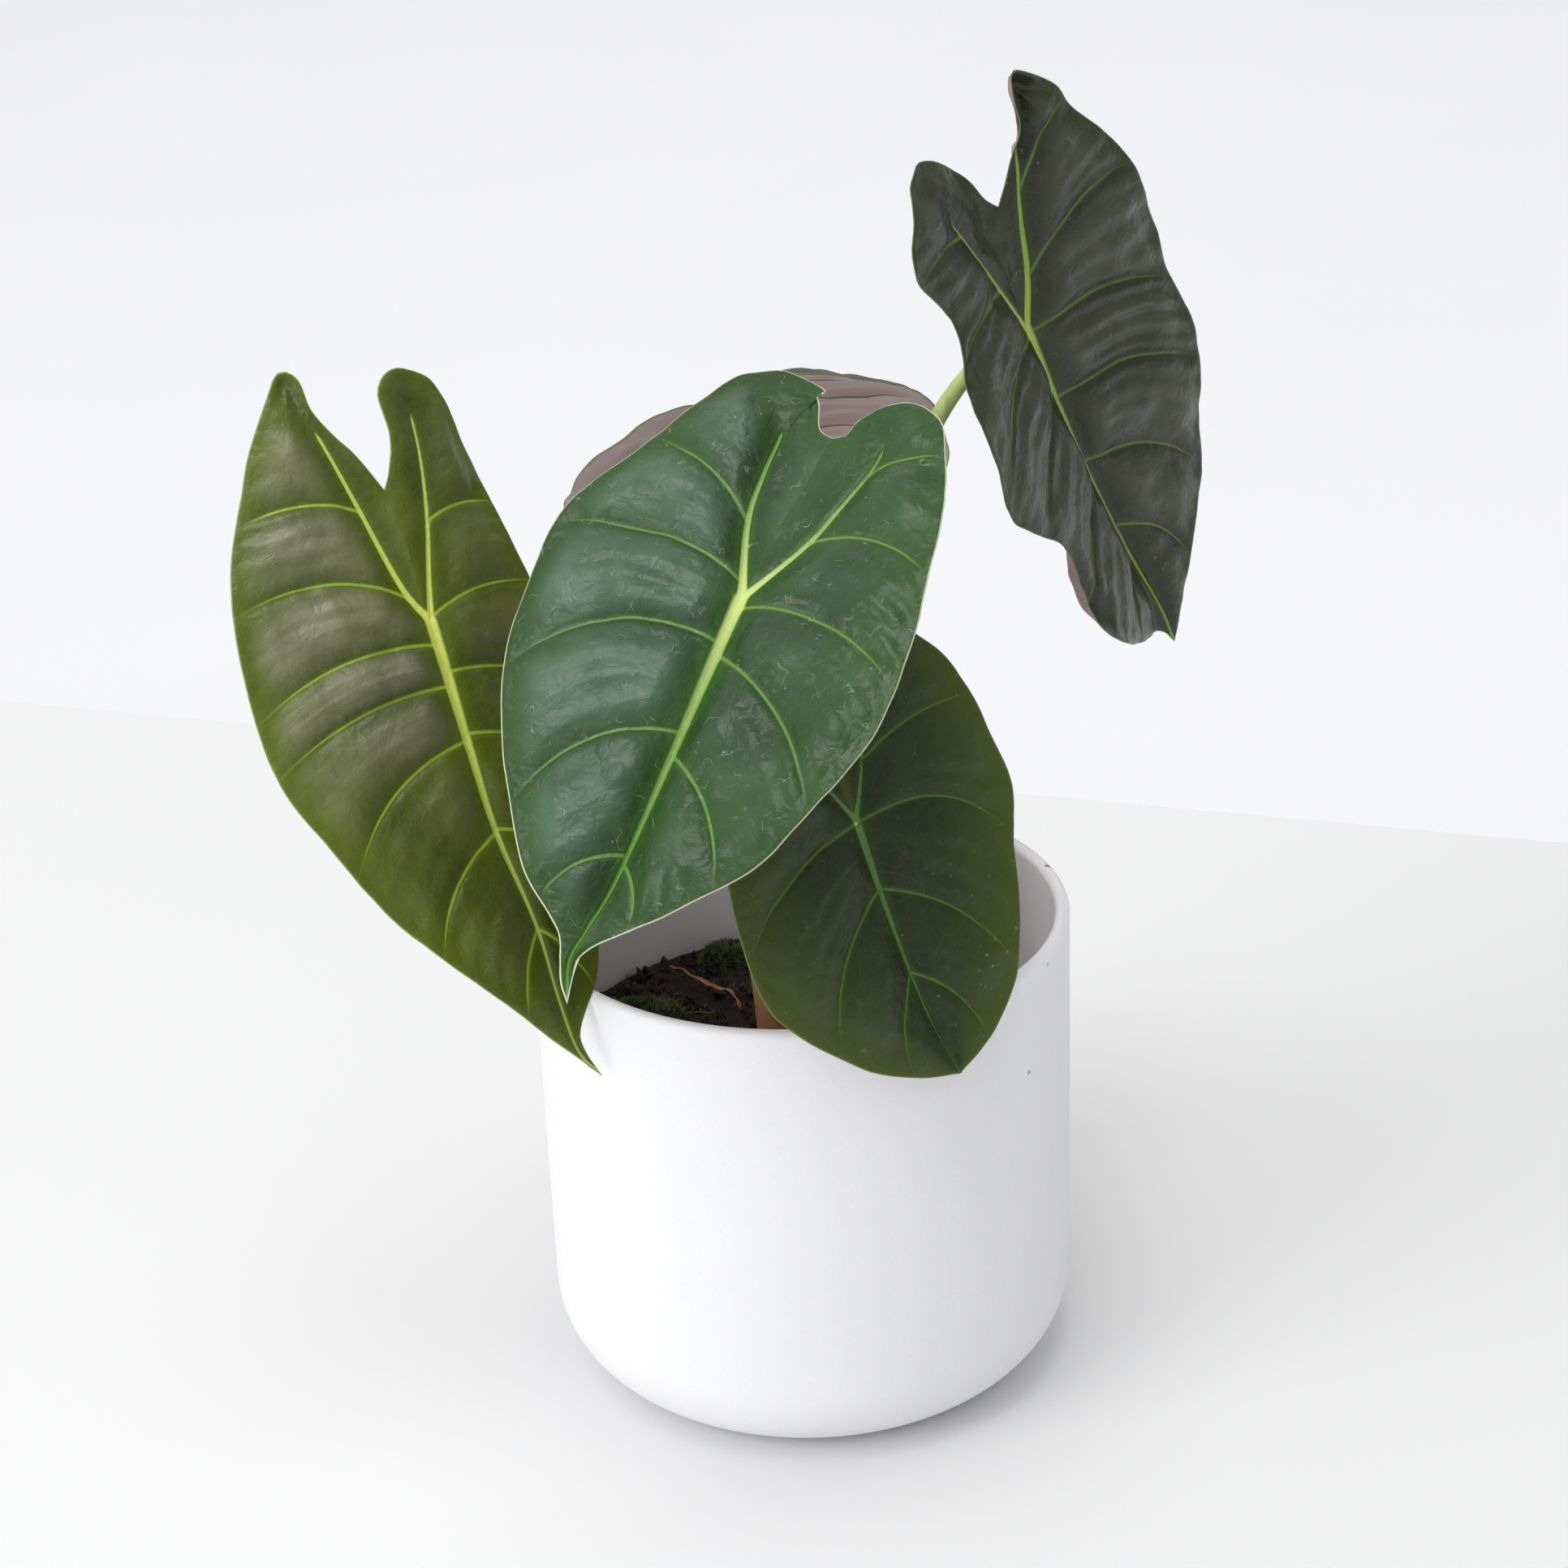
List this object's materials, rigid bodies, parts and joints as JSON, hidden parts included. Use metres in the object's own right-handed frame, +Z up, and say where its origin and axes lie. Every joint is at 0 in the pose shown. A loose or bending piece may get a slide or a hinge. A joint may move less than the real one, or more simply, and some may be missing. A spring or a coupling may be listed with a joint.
{
  "type": "potted alocasia",
  "caption": "Potted alocasia: arrow-shaped, pale-veined leaves on arching stalks, growing in a straight white ceramic planter with a rounded foot.",
  "frame": {"origin": "middle of the planter's flat underside", "axes": "+Z up along the planter's axis, -Y to the front of the plant, +X to its right"},
  "size_m": [0.2471, 0.2626, 0.3363],
  "materials": {
    "planter_ceramic": "matt white bisque-like glaze",
    "potting_mix": "damp, crumbly",
    "root_ball": "matted roots and mix",
    "corm_skin": "dry fibrous skin",
    "moss": "soft tufts",
    "dry_sheath": "dry and papery",
    "stalk_green": "smooth, slightly waxy",
    "blade_olive": "satin leaf, purple-brown underside",
    "blade_green": "satin leaf, purple-brown underside",
    "blade_dark": "satin leaf, purple-brown underside"
  },
  "bodies": {
    "root": {"pot": "planter_ceramic", "potting_mix": "potting_mix", "root_ball": "root_ball", "corm": "corm_skin", "dry_sheath": "dry_sheath", "moss_clump_1": "moss", "moss_clump_2": "moss", "moss_clump_3": "moss", "moss_clump_4": "moss", "moss_clump_5": "moss", "leaf_left_stalk": "stalk_green", "leaf_left_blade": "blade_olive", "leaf_centre_stalk": "stalk_green", "leaf_centre_blade": "blade_green", "leaf_upper_stalk": "stalk_green", "leaf_upper_blade": "blade_dark", "leaf_lower_stalk": "stalk_green", "leaf_lower_blade": "blade_olive", "leaf_back_stalk": "stalk_green", "leaf_back_blade": "blade_dark"}
  },
  "joints": []
}
